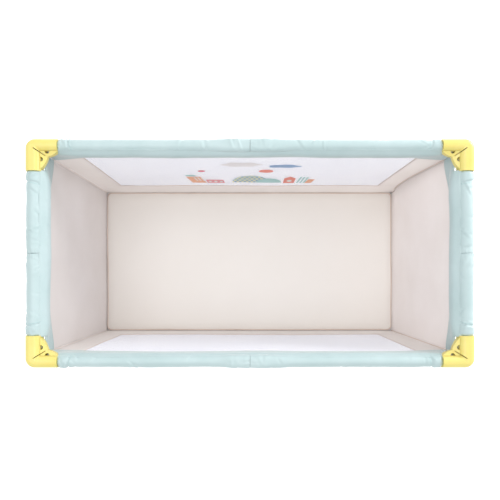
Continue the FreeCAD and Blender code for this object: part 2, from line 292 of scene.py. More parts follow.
@dataclass
class Graph:
    """A node tree with short ways to add and join nodes."""

    tree: bpy.types.NodeTree

    def add(self, kind: str, values: dict[str | int, object] | None = None, **settings: object) -> bpy.types.Node:
        """Adds a node.

        Args:
            kind: the node's type name.
            values: input values or sockets to join, by input name or number.
            settings: the node's own properties.

        Returns:
            The new node.
        """
        node = self.tree.nodes.new(kind)
        for key, value in settings.items():
            setattr(node, key, value)
        self.fill(node, values or {})
        return node

    def fill(self, node: bpy.types.Node, values: dict[str | int, object]) -> None:
        """Sets or joins a node's inputs, by name or number."""
        for key, value in values.items():
            if isinstance(value, bpy.types.NodeSocket):
                self.tree.links.new(value, node.inputs[key])
            else:
                node.inputs[key].default_value = value

    def maths(self, operation: str, *values: object) -> bpy.types.NodeSocket:
        """Adds a Math node on values or sockets and gives its output."""
        return self.add("ShaderNodeMath", dict(enumerate(values)), operation=operation).outputs[0]

    def clamped_sum(self, *values: object) -> bpy.types.NodeSocket:
        """Adds a sum that stays between 0 and 1 and gives its output."""
        return self.add("ShaderNodeMath", dict(enumerate(values)), operation="ADD", use_clamp=True).outputs[0]

    def relief(self, height: bpy.types.NodeSocket, strength: float, depth: float) -> bpy.types.NodeSocket:
        """Adds a bump of a height in metres and gives its normal."""
        return self.add("ShaderNodeBump", {"Height": height, "Strength": strength, "Distance": depth}).outputs[0]

    def weave_place(self) -> bpy.types.NodeSocket:
        """Gives the weave coordinates."""
        return self.add("ShaderNodeUVMap", uv_map=WEAVE_MAP).outputs[0]

    def join(self, start: bpy.types.NodeSocket, end: bpy.types.NodeSocket) -> None:
        """Links two sockets."""
        self.tree.links.new(start, end)


def new_group(name: str, outputs: Sequence[str], **floats: float) -> tuple[Graph, bpy.types.Node, bpy.types.Node]:
    """Makes an empty shader node group whose first input is its coordinates.

    Args:
        name: the group's name.
        outputs: names of its float outputs.
        floats: its other inputs and their defaults.

    Returns:
        The group's graph, its input node and its output node.
    """
    tree = bpy.data.node_groups.new(name, "ShaderNodeTree")
    tree.interface.new_socket("Coordinates", in_out="INPUT", socket_type="NodeSocketVector")
    for label, default in floats.items():
        tree.interface.new_socket(label, in_out="INPUT", socket_type="NodeSocketFloat").default_value = default
    for label in outputs:
        tree.interface.new_socket(label, in_out="OUTPUT", socket_type="NodeSocketFloat")
    graph = Graph(tree)
    return graph, graph.add("NodeGroupInput"), graph.add("NodeGroupOutput")


def weave_group() -> bpy.types.NodeTree:
    """Makes the plain-weave pattern: threads that pass over and under each other."""
    graph, start, end = new_group("Plain weave", ["Height", "Shade"], Thread=0.001)
    parts = graph.add("ShaderNodeSeparateXYZ", {0: start.outputs["Coordinates"]})
    turn = graph.maths("DIVIDE", math.pi, start.outputs["Thread"])
    along, across = (graph.maths("SINE", graph.maths("MULTIPLY", parts.outputs[axis], turn)) for axis in (0, 1))
    crossing = graph.maths("MULTIPLY", along, across)
    gap = graph.maths("MULTIPLY", graph.maths("ABSOLUTE", along), graph.maths("ABSOLUTE", across))
    graph.fill(end, {"Height": graph.maths("MULTIPLY_ADD", crossing, 0.5, 0.5), "Shade": gap})
    return graph.tree


def mottle_group() -> bpy.types.NodeTree:
    """Makes slow and fast variation: how dyed cloth and moulded plastic differ from place to place."""
    graph, start, end = new_group("Mottle", ["Factor", "Fine"], Size=0.1, Amount=0.5)
    where = start.outputs["Coordinates"]
    scale = graph.maths("DIVIDE", 1.0, start.outputs["Size"])
    slow = graph.add("ShaderNodeTexNoise", {"Vector": where, "Scale": scale, "Detail": 3.0})
    quick = graph.maths("MULTIPLY", scale, 14.0)
    fine = graph.add("ShaderNodeTexNoise", {"Vector": where, "Scale": quick, "Detail": 4.0})
    centred = graph.maths("SUBTRACT", slow.outputs[0], 0.5)
    spread = graph.maths("MULTIPLY", graph.maths("MULTIPLY", centred, 3.0), start.outputs["Amount"])
    graph.fill(end, {"Factor": graph.clamped_sum(spread, 0.5), "Fine": fine.outputs[0]})
    return graph.tree


def netting_group() -> bpy.types.NodeTree:
    """Makes knitted netting: a mask that is 0 in the holes, and the yarn's height."""
    graph, start, end = new_group("Netting", ["Mask", "Height"], Pitch=0.002, Hole=0.5)
    parts = graph.add("ShaderNodeSeparateXYZ", {0: start.outputs["Coordinates"]})
    turn = graph.maths("DIVIDE", FULL_TURN, start.outputs["Pitch"])
    along = graph.maths("COSINE", graph.maths("MULTIPLY", parts.outputs[0], turn))
    across = graph.maths("COSINE", graph.maths("MULTIPLY", graph.maths("MULTIPLY", parts.outputs[1], turn), 0.6))
    both = graph.maths("MULTIPLY", along, across)
    hole = start.outputs["Hole"]
    rim = graph.add("ShaderNodeMapRange", {"Value": both, 1: hole, 2: graph.maths("ADD", hole, 0.25), 3: 1.0, 4: 0.0},
                    interpolation_type="SMOOTHSTEP")
    graph.fill(end, {"Mask": rim.outputs[0], "Height": graph.maths("MULTIPLY_ADD", both, -0.5, 0.5)})
    return graph.tree


def scuff_group() -> bpy.types.NodeTree:
    """Makes the handling marks on hard parts: a roughness and a fine grain height."""
    graph, start, end = new_group("Scuff and grain", ["Roughness", "Grain"], Roughness=0.4, Wear=0.2)
    where = start.outputs["Coordinates"]
    cloud = graph.add("ShaderNodeTexNoise", {"Vector": where, "Scale": 38.0, "Detail": 5.0})
    grain = graph.add("ShaderNodeTexNoise", {"Vector": where, "Scale": 2200.0, "Detail": 2.0})
    lift = graph.maths("MULTIPLY", graph.maths("SUBTRACT", cloud.outputs[0], 0.45), start.outputs["Wear"])
    graph.fill(end, {"Roughness": graph.clamped_sum(lift, start.outputs["Roughness"]), "Grain": grain.outputs[0]})
    return graph.tree


class Pattern(Enum):
    """The shared shader groups, each made once."""

    WEAVE = "weave"
    MOTTLE = "mottle"
    NETTING = "netting"
    SCUFF = "scuff"


PATTERN_MAKERS: dict[Pattern, Callable[[], bpy.types.NodeTree]] = {
    Pattern.WEAVE: weave_group,
    Pattern.MOTTLE: mottle_group,
    Pattern.NETTING: netting_group,
    Pattern.SCUFF: scuff_group,
}
PATTERN_TREES: dict[Pattern, bpy.types.NodeTree] = {}


def pattern(graph: Graph, which: Pattern, values: dict[str | int, object]) -> bpy.types.Node:
    """Places a shared group in a material.

    Args:
        graph: the material's graph.
        which: the group to place.
        values: its inputs, as Graph.add takes them.

    Returns:
        The group's node.
    """
    if which not in PATTERN_TREES:
        PATTERN_TREES[which] = PATTERN_MAKERS[which]()
    return graph.add("ShaderNodeGroup", values, node_tree=PATTERN_TREES[which])


# Finishes


@dataclass(frozen=True)
class Finish:
    """What every finish has: a name and a base colour with a slightly different second one."""

    name: str
    colour: Colour
    second: Colour

    def start(self) -> tuple[bpy.types.Material, Graph, bpy.types.Node, bpy.types.NodeSocket]:
        """Makes the material with its shader and object coordinates.

        Returns:
            The material, its graph, its Principled shader and the object coordinates.
        """
        material = bpy.data.materials.new(self.name)
        material.use_nodes = True
        graph = Graph(material.node_tree)
        shader = material.node_tree.nodes["Principled BSDF"]
        where = graph.add("ShaderNodeTexCoord").outputs["Object"]
        return material, graph, shader, where

    def tint(self, graph: Graph, factor: bpy.types.NodeSocket) -> bpy.types.NodeSocket:
        """Mixes the two colours by a factor and gives the colour."""
        values = {0: factor, "A": (*self.colour, 1), "B": (*self.second, 1)}
        return graph.add("ShaderNodeMix", values, data_type="RGBA").outputs["Result"]


@dataclass(frozen=True)
class ClothFinish(Finish):
    """Woven cloth: dye variation, painted shade between threads and in the grooves of optional ribs, sheen, and for
    thin cloth the light behind it.
    """

    thread: float = 0.0007
    depth: float = 0.00012
    sheen: float = 0.25
    roughness: float = 0.8
    shine: float = 0.3
    mottle_size: float = 0.12
    mottle: float = 0.6
    rib_pitch: float = 0.0
    lets_through: float = 0.0
    on_plan: bool = False

    def make(self) -> bpy.types.Material:
        """Builds the material."""
        material, graph, shader, where = self.start()
        cloth = where if self.on_plan else graph.weave_place()
        weave = pattern(graph, Pattern.WEAVE, {"Coordinates": cloth, "Thread": self.thread})
        mottle = pattern(graph, Pattern.MOTTLE,
                         {"Coordinates": where, "Size": self.mottle_size, "Amount": self.mottle})
        shade = graph.maths("MULTIPLY", weave.outputs["Shade"], 0.25)
        factor = graph.maths("ADD", graph.maths("MULTIPLY", mottle.outputs["Factor"], 0.75), shade)
        height = weave.outputs["Height"]
        if self.rib_pitch:
            up = graph.add("ShaderNodeSeparateXYZ", {0: cloth}).outputs[1]
            rib = graph.maths("SINE", graph.maths("MULTIPLY", up, 2 * math.pi / self.rib_pitch))
            height = graph.maths("ADD", height, graph.maths("MULTIPLY", rib, 0.8))
            # painted shade: rib crests are coloured lighter and the grooves between them darker
            factor = graph.maths("ADD", factor, graph.maths("MULTIPLY", rib, 0.1))
        colour = self.tint(graph, factor)
        graph.fill(shader, {
            "Base Color": colour, "Normal": graph.relief(height, 0.6, self.depth),
            "Roughness": graph.maths("MULTIPLY_ADD", mottle.outputs["Fine"], 0.15, self.roughness - 0.07),
            "Sheen Weight": self.sheen, "Sheen Roughness": 0.4, "Specular IOR Level": self.shine,
        })
        if self.lets_through:
            glow = graph.add("ShaderNodeBsdfTranslucent", {"Color": colour})
            both = graph.add("ShaderNodeMixShader", {0: self.lets_through, 1: shader.outputs[0], 2: glow.outputs[0]})
            graph.fill(graph.tree.nodes["Material Output"], {"Surface": both.outputs[0]})
        return material


@dataclass(frozen=True)
class NettingFinish(Finish):
    """Fine knitted netting with holes."""

    pitch: float = 0.0021
    hole: float = 0.42

    def make(self) -> bpy.types.Material:
        """Builds the material."""
        material, graph, shader, where = self.start()
        net = pattern(graph, Pattern.NETTING,
                      {"Coordinates": graph.weave_place(), "Pitch": self.pitch, "Hole": self.hole})
        mottle = pattern(graph, Pattern.MOTTLE, {"Coordinates": where, "Size": 0.2, "Amount": 0.6})
        graph.fill(shader, {
            "Base Color": self.tint(graph, mottle.outputs["Factor"]), "Alpha": net.outputs["Mask"],
            "Normal": graph.relief(net.outputs["Height"], 0.5, 0.0003), "Roughness": 0.7, "Sheen Weight": 0.2,
        })
        return material


@dataclass(frozen=True)
class HardFinish(Finish):
    """Moulded plastic, rubber, or coated or bare metal, with grain, scuffs and tone changes."""

    roughness: float = 0.38
    wear: float = 0.25
    metallic: float = 0.0
    coat: float = 0.0
    grain: float = 0.00004
    soft_light: float = 0.0

    def make(self) -> bpy.types.Material:
        """Builds the material."""
        material, graph, shader, where = self.start()
        mottle = pattern(graph, Pattern.MOTTLE, {"Coordinates": where, "Size": 0.05, "Amount": 0.7})
        scuff = pattern(graph, Pattern.SCUFF,
                        {"Coordinates": where, "Roughness": self.roughness, "Wear": self.wear})
        graph.fill(shader, {
            "Base Color": self.tint(graph, mottle.outputs["Factor"]), "Roughness": scuff.outputs["Roughness"],
            "Normal": graph.relief(scuff.outputs["Grain"], 0.4, self.grain), "Metallic": self.metallic,
            "Coat Weight": self.coat, "Subsurface Weight": self.soft_light, "Subsurface Scale": 0.004,
        })
        return material


@dataclass(frozen=True)
class DottedFinish(Finish):
    """Printed cloth: staggered dots of two colours on a pale ground."""

    dot: Colour = (0.8, 0.7, 0.3)
    pitch: float = 0.017
    stretch: float = 0.3

    def make(self) -> bpy.types.Material:
        """Builds the material."""
        material, graph, shader, _ = self.start()
        cloth = graph.weave_place()
        parts = graph.add("ShaderNodeSeparateXYZ", {0: cloth})
        turn = 2 * math.pi / self.pitch
        along = graph.maths("COSINE", graph.maths("MULTIPLY", parts.outputs[0], turn))
        across = graph.maths("COSINE", graph.maths("MULTIPLY", parts.outputs[1], turn * self.stretch))
        spots = graph.maths("MULTIPLY", along, across)
        low = graph.add("ShaderNodeMapRange", {"Value": spots, 1: -0.2, 2: -0.35}).outputs[0]
        high = graph.add("ShaderNodeMapRange", {"Value": spots, 1: 0.3, 2: 0.45}).outputs[0]
        values = {0: high, "A": self.tint(graph, low), "B": (*self.dot, 1)}
        mix = graph.add("ShaderNodeMix", values, data_type="RGBA")
        weave = pattern(graph, Pattern.WEAVE, {"Coordinates": cloth, "Thread": 0.0012})
        graph.fill(shader, {
            "Base Color": mix.outputs["Result"], "Normal": graph.relief(weave.outputs["Height"], 0.5, 0.0002),
            "Roughness": 0.85,
        })
        return material


MINT = ClothFinish("mint_oxford", linear(170, 192, 193), linear(188, 206, 208), thread=0.0008,
                   depth=0.00014, sheen=0.5, roughness=0.46, shine=0.5, mottle_size=0.09)
SAND = ClothFinish("sand_wall_cloth", linear(236, 231, 228), linear(242, 238, 236), thread=0.0009, lets_through=0.45)
RIBBED = ClothFinish("ribbed_end_cloth", linear(232, 227, 225), linear(239, 235, 234), thread=0.0009,
                     rib_pitch=0.008, lets_through=0.45)
CREAM = ClothFinish("cream_mattress_cloth", linear(238, 233, 227), linear(244, 240, 235), thread=0.0008,
                    depth=0.0001, sheen=0.2, mottle_size=0.35, mottle=0.5, on_plan=True)
BINDING = ClothFinish("rose_brown_binding", linear(220, 201, 190), linear(228, 211, 201), thread=0.001)
EDGING = ClothFinish("pale_rose_piping", linear(234, 222, 216), linear(240, 229, 224), thread=0.001)
THREAD = ClothFinish("mint_thread", linear(140, 190, 190), linear(156, 202, 202), thread=0.0004)
NETTING = NettingFinish("white_netting", linear(232, 234, 246), linear(240, 241, 251))
YELLOW = HardFinish("yellow_moulding", linear(224, 209, 116), linear(230, 216, 130), roughness=0.32,
                    wear=0.2, soft_light=0.08)
STEEL = HardFinish("coated_steel", linear(206, 209, 212), linear(216, 219, 222), roughness=0.3, coat=0.4)
RIVET = HardFinish("rivet_steel", linear(176, 172, 150), linear(192, 188, 166), roughness=0.4, metallic=0.55)
RUBBER = HardFinish("foot_rubber", linear(58, 60, 62), linear(70, 72, 74), roughness=0.7, grain=0.0001)
GREY = HardFinish("grey_moulding", linear(150, 153, 157), linear(162, 165, 169), roughness=0.5)
BUTTON = HardFinish("coral_moulding", linear(222, 104, 88), linear(232, 118, 100), roughness=0.4)
WEBBING = ClothFinish("grey_webbing", linear(92, 94, 98), linear(108, 110, 114), thread=0.0016,
                      depth=0.0003, on_plan=True)


class Finishes:
    """Makes each finish's material once."""

    def __init__(self) -> None:
        """Starts with none made."""
        self.made: dict[str, bpy.types.Material] = {}

    def of(self, finish: Finish) -> bpy.types.Material:
        """Gives a finish's material."""
        if finish.name not in self.made:
            self.made[finish.name] = finish.make()
        return self.made[finish.name]


FINISHES = Finishes()


def print_cloth(name: str, red: int, green: int, blue: int) -> ClothFinish:
    """A finish for a printed shape of one colour."""
    colour = linear(red, green, blue)
    return ClothFinish(f"print_{name}", colour, tuple(0.92 * part for part in colour), thread=0.0012)


# Stitches


def stitch_tree() -> bpy.types.NodeTree:
    """Makes the geometry nodes that lay a stitch every so often along a line of edges."""
    tree = bpy.data.node_groups.new("Stitch line", "GeometryNodeTree")
    face = tree.interface
    face.new_socket("Geometry", in_out="INPUT", socket_type="NodeSocketGeometry")
    for label, default in (("Pitch", 0.004), ("Length", 0.0028), ("Radius", 0.0004)):
        face.new_socket(label, in_out="INPUT", socket_type="NodeSocketFloat").default_value = default
    face.new_socket("Thread", in_out="INPUT", socket_type="NodeSocketMaterial")
    face.new_socket("Geometry", in_out="OUTPUT", socket_type="NodeSocketGeometry")
    graph = Graph(tree)
    start, end = graph.add("NodeGroupInput"), graph.add("NodeGroupOutput")
    curve = graph.add("GeometryNodeMeshToCurve", {"Mesh": start.outputs["Geometry"]})
    spaced = graph.add("GeometryNodeResampleCurve", {"Curve": curve.outputs[0], "Length": start.outputs["Pitch"]},
                       mode="LENGTH")
    stitch = graph.add("GeometryNodeMeshIcoSphere", {"Radius": 1.0, "Subdivisions": 1})
    tangent = graph.add("GeometryNodeInputTangent")
    turn = graph.add("FunctionNodeAlignRotationToVector", {"Vector": tangent.outputs[0]}, axis="Z")
    half = graph.maths("MULTIPLY", start.outputs["Length"], 0.5)
    size = graph.add("ShaderNodeCombineXYZ", {0: start.outputs["Radius"], 1: start.outputs["Radius"], 2: half})
    laid = graph.add("GeometryNodeInstanceOnPoints", {
        "Points": spaced.outputs[0], "Instance": stitch.outputs["Mesh"],
        "Rotation": turn.outputs[0], "Scale": size.outputs[0],
    })
    real = graph.add("GeometryNodeRealizeInstances", {0: laid.outputs[0]})
    dressed = graph.add("GeometryNodeSetMaterial",
                        {"Geometry": real.outputs[0], "Material": start.outputs["Thread"]})
    graph.join(dressed.outputs[0], end.inputs["Geometry"])
    return tree


@dataclass
class Stitcher:
    """Sews lines of stitches, each line a plain mesh piece."""

    pitch: float = 0.0042
    length: float = 0.003
    radius: float = 0.00045
    tree: bpy.types.NodeTree = field(default_factory=stitch_tree)

    def sew(self, name: str, lines: Sequence[np.ndarray], finish: Finish) -> bpy.types.Object:
        """Lays stitches along lines.

        Args:
            name: the piece's name.
            lines: each an array of points.
            finish: the thread's finish.

        Returns:
            One piece with all the stitches.
        """
        points, edges = [], []
        for line in lines:
            first = len(points)
            points += [tuple(place) for place in line]
            edges += [(first + step, first + step + 1) for step in range(len(line) - 1)]
        mesh = bpy.data.meshes.new(name)
        mesh.from_pydata(points, edges, [])
        material = FINISHES.of(finish)
        piece = link_object(name, mesh, material)
        modifier = piece.modifiers.new("stitches", "NODES")
        modifier.node_group = self.tree
        values = {"Pitch": self.pitch, "Length": self.length, "Radius": self.radius, "Thread": material}
        for item in self.tree.interface.items_tree:
            if item.in_out == "INPUT" and item.name in values:
                modifier[item.identifier] = values[item.name]
        settle(piece)
        piece.data.uv_layers.new(name=WEAVE_MAP)
        return piece


# Where things stand


@dataclass(frozen=True)
class Side:
    """One side of the pen: its rail and its wall.

    Attributes:
        rail: which side it is.
        along: level direction of the rail, from its a end to its b end.
        out: level direction out of the pen.
        post: the body that its wall rides on, at the a end.
        seed: fixes its cloth's slow waves.
    """

    rail: Rail
    along: tuple[float, float, float]
    out: tuple[float, float, float]
    post: str
    seed: int

    @property
    def name(self) -> str:
        """The side's name in node and body names."""
        return self.rail.value

    @property
    def long(self) -> bool:
        """Whether the side is one of the long ones."""
        return self.along[0] > 0

    def measure(self, node: str) -> tuple[float, float, float, float, float, float]:
        """Gives a node's low and high distance along the side, out of it, and up."""
        low, high = (np.array(corner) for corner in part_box(node))
        spans = []
        for direction in (self.along, self.out, UP):
            ends = sorted((float(low @ direction), float(high @ direction)))
            spans += ends
        return tuple(spans)

    def bracket_end(self) -> float:
        """Gives the distance from the rail's middle to where a corner's bracket begins."""
        low, high, *_ = self.measure("corner_bracket_back_right")
        return min(abs(low), abs(high))

    def wall_plane(self) -> tuple[float, float, float]:
        """Gives half the wall's length, its distance from the pen's middle and its lowest height."""
        low, high, inside, outside, bottom, _ = self.measure(f"{self.name}_wall")
        return (high - low) / 2 + WALL_MARGIN, (inside + outside) / 2, bottom

    def place(self, along: np.ndarray, up: np.ndarray, out: np.ndarray) -> np.ndarray:
        """Gives places from distances along the side, above the ground and out from the middle."""
        along, up, out = np.broadcast_arrays(along, up, out)
        return along[..., None] * np.array(self.along) + up[..., None] * UP + out[..., None] * np.array(self.out)

    def fold_share(self, half: float) -> float:
        """Gives what is left of a piece of this half length when the pen is folded."""
        low, high, *_, bottom, top = self.measure(f"{self.name}_tube_b")
        link = (high - low) - (top - bottom)
        limit = next(joint for joint in frame["joints"] if joint["name"] == FOLD_JOINT)["range_deg"][1]
        return 1 - link * (1 - math.cos(math.radians(limit))) / half

    def ride_wall(self, piece: bpy.types.Object, half: float) -> bpy.types.Object:
        """Makes a wall piece ride on its post."""
        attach(piece, self.post)
        anchor = self.place(np.array(-half), np.array(0.0), np.array(0.0))
        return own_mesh(piece, FOLD_JOINT, axis=self.along, anchor=tuple(anchor), keep=self.fold_share(half))


SIDES = (
    Side(Rail.FRONT, (1, 0, 0), (0, -1, 0), "post_front_left", 37),
    Side(Rail.BACK, (1, 0, 0), (0, 1, 0), "post_back_left", 31),
    Side(Rail.LEFT, (0, 1, 0), (-1, 0, 0), "post_front_left", 52),
    Side(Rail.RIGHT, (0, 1, 0), (1, 0, 0), "post_front_right", 53),
)
SIDE_OF = {side.rail: side for side in SIDES}


# Hard parts


@dataclass
class HardParts:
    """The CAD parts that keep their shape: each gets a finish by its name's start."""

    finishes: dict[str, Finish] = field(default_factory=lambda: {
        "corner_bracket": YELLOW, "corner_rivets": RIVET, "leg_tube": STEEL, "base_arm": STEEL,
        "corner_foot": GREY, "foot_pad": RUBBER, "hub_housing": GREY, "pull_strap": WEBBING,
    })
    by_ending: dict[str, Finish] = field(default_factory=lambda: {
        "_tube_a": STEEL, "_tube_b": STEEL, "_latch_housing": GREY, "_latch_button": BUTTON,
    })

    def build(self) -> None:
        """Dresses every hard CAD node."""
        for name, node in frame["nodes"].items():
            finish = self.finish_of(name)
            if finish is None:
                continue
            material = FINISHES.of(finish)
            if not node.material_slots:
                node.data.materials.append(material)
            for holder in node.material_slots:
                holder.material = material
            LOG.info("dressed %s with %s", name, finish.name)

    def finish_of(self, name: str) -> Finish | None:
        """Gives the finish of a CAD node, or None for a soft one that is replaced."""
        for start, finish in self.finishes.items():
            if name.startswith(start):
                return finish
        for ending, finish in self.by_ending.items():
            if name.endswith(ending):
                return finish
        return None


# Rail sleeves


@dataclass
class RailSleeves:
    """The padded sleeves on the top rails, two to a rail, gathered where they meet.

    Attributes:
        step: length of the mesh's faces along the rail.
        sides: faces around a sleeve.
        cuff: from a bracket's end to the seam of the sleeve's cuff.
        bracket_gap: from the sleeve's end to the bracket.
        cuff_swell: how far the cuff stands out past its seam.
        seam_depth: how deep the cuff's seam is.
        pinch: how much the sleeve narrows at the rail's middle.
        creases: pulled folds on each sleeve.
        middle_gap: from the rail's middle to the sleeve.
        latch_swell: the latch's rounded square against the housing's half width.
        latch_fade: how far past the latch the swelling over it fades out.
        bend: two distances from the rail's middle whose places are worked out but not used.
    """

    stitcher: Stitcher
    step: float = 0.0022
    sides: int = 72
    cuff: float = 0.028
    bracket_gap: float = 0.0003
    cuff_swell: float = 0.0018
    seam_depth: float = 0.0024
    pinch: float = 0.0004
    creases: int = 26
    middle_gap: float = 0.0003
    latch_swell: float = 1.27
    latch_fade: float = 0.085
    bend: tuple[float, float] = (0.062, 0.012)

    def build(self) -> None:
        """Builds every half sleeve with its cuff's stitches."""
        for number, side in enumerate(SIDES):
            for half, sign in (("a", -1), ("b", 1)):
                self.half_sleeve(side, half, sign, seed=11 + 7 * number + (half == "b"))

    def half_sleeve(self, side: Side, half: str, sign: int, seed: int) -> None:
        """Builds one half sleeve.

        Args:
            side: the pen's side.
            half: "a" or "b".
            sign: -1 for the a half and 1 for the b half.
            seed: fixes its wrinkles.
        """
        node = f"{side.name}_sleeve_{half}"
        _, _, near, far, bottom, top = side.measure(node)
        radius, axis_out, axis_up = (top - bottom) / 2, (near + far) / 2, (top + bottom) / 2
        end = side.bracket_end() - self.bracket_gap
        run = np.linspace(self.middle_gap, end, int(end / self.step))
        turn = np.linspace(0, FULL_TURN, self.sides, endpoint=False)
        along, around = np.meshgrid(run, turn, indexing="ij")
        reach = self.radius_at(along, around, radius, end, seed)
        square, length = self.over_latch(side, around)
        swelling = 1 - smooth_step(along, length, length + self.latch_fade)
        reach += np.maximum(square - radius, 0) * swelling
        reach = np.maximum(reach, square * (along < length + 0.002))
        out = axis_out + reach * np.cos(around)
        up = axis_up + reach * np.sin(around)
        points = side.place(sign * along, up, out)
        surface = Surface(points, weave_round(run, self.sides, radius), round=True, capped=True)
        piece = surface.build(f"sleeve_{side.name}_{half}", FINISHES.of(MINT))
        outer, inner = (side.place(np.array(sign * distance), np.array(axis_up), np.array(axis_out))
                        for distance in self.bend)
        if half == "a":
            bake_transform(piece)
        else:
            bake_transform(piece)
        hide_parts(node)
        self.cuff_stitches(side, half, sign, end, radius, axis_out, axis_up, seed)
        LOG.info("built %s", piece.name)

    def over_latch(self, side: Side, around: np.ndarray) -> tuple[np.ndarray, float]:
        """Gives the rounded square that clears the latch's housing.

        Args:
            side: the pen's side.
            around: angle around the rail.

        Returns:
            The least radius at each angle, and how far the housing reaches from the middle.
        """
        _, length, near, far, _, _ = side.measure(f"{side.name}_latch_housing")
        half = (far - near) / 2
        square = half * self.latch_swell / (np.abs(np.cos(around)) ** 3 + np.abs(np.sin(around)) ** 3) ** (1 / 3)
        return square, length

    def seam_line(self, around: np.ndarray, end: float) -> np.ndarray:
        """Gives the cuff seam's distance along the rail: it curves away from the bracket inside."""
        inside = 0.5 - 0.5 * np.cos(around)
        return end - self.cuff - 0.007 * inside**2

    def radius_at(self, along: np.ndarray, around: np.ndarray, radius: float, end: float, seed: int) -> np.ndarray:
        """Gives the sleeve's radius with its wrinkles, cuff seam and middle gather.

        Args:
            along: distance from the rail's middle.
            around: angle around the rail, 0 outwards.
            radius: the plain radius.
            end: where the sleeve ends, at the bracket.
            seed: fixes the wrinkles.

        Returns:
            The radius at each point.
        """
        places = np.stack([along, radius * np.cos(around), radius * np.sin(around)], -1)
        folds = ripple(places * (1.0, 0.42, 0.42), seed, 0.05, 3)
        slack = 0.35 + 0.7 * bump(along, 0.0, 0.06) + 0.6 * bump(along, end - 0.02, 0.03)
        swell = ripple(places * (0.5, 1, 1), seed + 100, 0.12, 2)
        gathers = np.sin(around * 11 + 3 * ripple(places, seed + 200, 0.04, 2))
        reach = radius + 0.0009 * slack * folds + 0.0006 * swell + self.crease(along, around, radius, end, seed)
        reach += 0.0007 * gathers * (bump(along, 0.0, 0.016) + 0.5 * bump(along, end, 0.01))
        reach += 0.0012 * bump(along, 0.04, 0.03) - self.pinch * bump(along, 0.0, 0.007)
        seam = self.seam_line(around, end)
        past = smooth_step(along - seam, 0.0, 0.005)
        reach += self.cuff_swell * past * (1 - smooth_step(along, end - 0.008, end))
        reach -= self.seam_depth * np.exp(-(((along - seam) / 0.0022) ** 2))
        reach -= 0.002 * smooth_step(along, end - 0.006, end) ** 2
        least = np.where(along < end - 0.01, radius - 0.0022, radius - 0.006)
        return np.clip(reach, least, radius + 0.004 - 0.0032 * smooth_step(-np.cos(around), 0.2, 0.8))

    def crease(self, along: np.ndarray, around: np.ndarray, radius: float, end: float, seed: int) -> np.ndarray:
        """Gives the height of the slanting pulled folds in the cloth, most of them near the ends.

        Args:
            along: distance from the rail's middle.
            around: angle around the rail.
            radius: the plain radius.
            end: where the sleeve ends.
            seed: fixes the folds.

        Returns:
            Height to add to the radius at each point.
        """
        draw = np.random.default_rng(seed + 300)
        height = np.zeros_like(along)
        for number in range(self.creases):
            spread = draw.uniform(0, 1)
            centre = (0.07 * spread, end * spread, end - 0.06 * spread)[number % 3]
            turn, slant = draw.uniform(0, 2 * math.pi), draw.uniform(-1.1, 1.1)
            reach, width = draw.uniform(0.012, 0.028), draw.uniform(0.0026, 0.0048)
            arc = radius * (np.mod(around - turn + math.pi, 2 * math.pi) - math.pi)
            near = along - centre
            down = math.cos(slant) * near + math.sin(slant) * arc
            beside = -math.sin(slant) * near + math.cos(slant) * arc
            fold = -bump(down, 0.0, width) + 0.7 * bump(down, 1.7 * width, width)
            height += draw.uniform(0.0006, 0.0017) * fold * bump(beside, 0.0, reach)
        return height

    def cuff_stitches(self, side: Side, half: str, sign: int, end: float, radius: float,
                      axis_out: float, axis_up: float, seed: int) -> None:
        """Sews the line beside a cuff's seam, on the half rail's own body."""
        around = np.linspace(0, FULL_TURN, 120)
        along = self.seam_line(around, end) - 0.0045
        reach = self.radius_at(along, around, radius, end, seed) + 0.0001
        line = side.place(sign * along, axis_up + reach * np.sin(around), axis_out + reach * np.cos(around))
        piece = self.stitcher.sew(f"cuff_stitches_{side.name}_{half}", [line], THREAD)
        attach(piece, f"{side.name}_rail_{half}")


# Walls


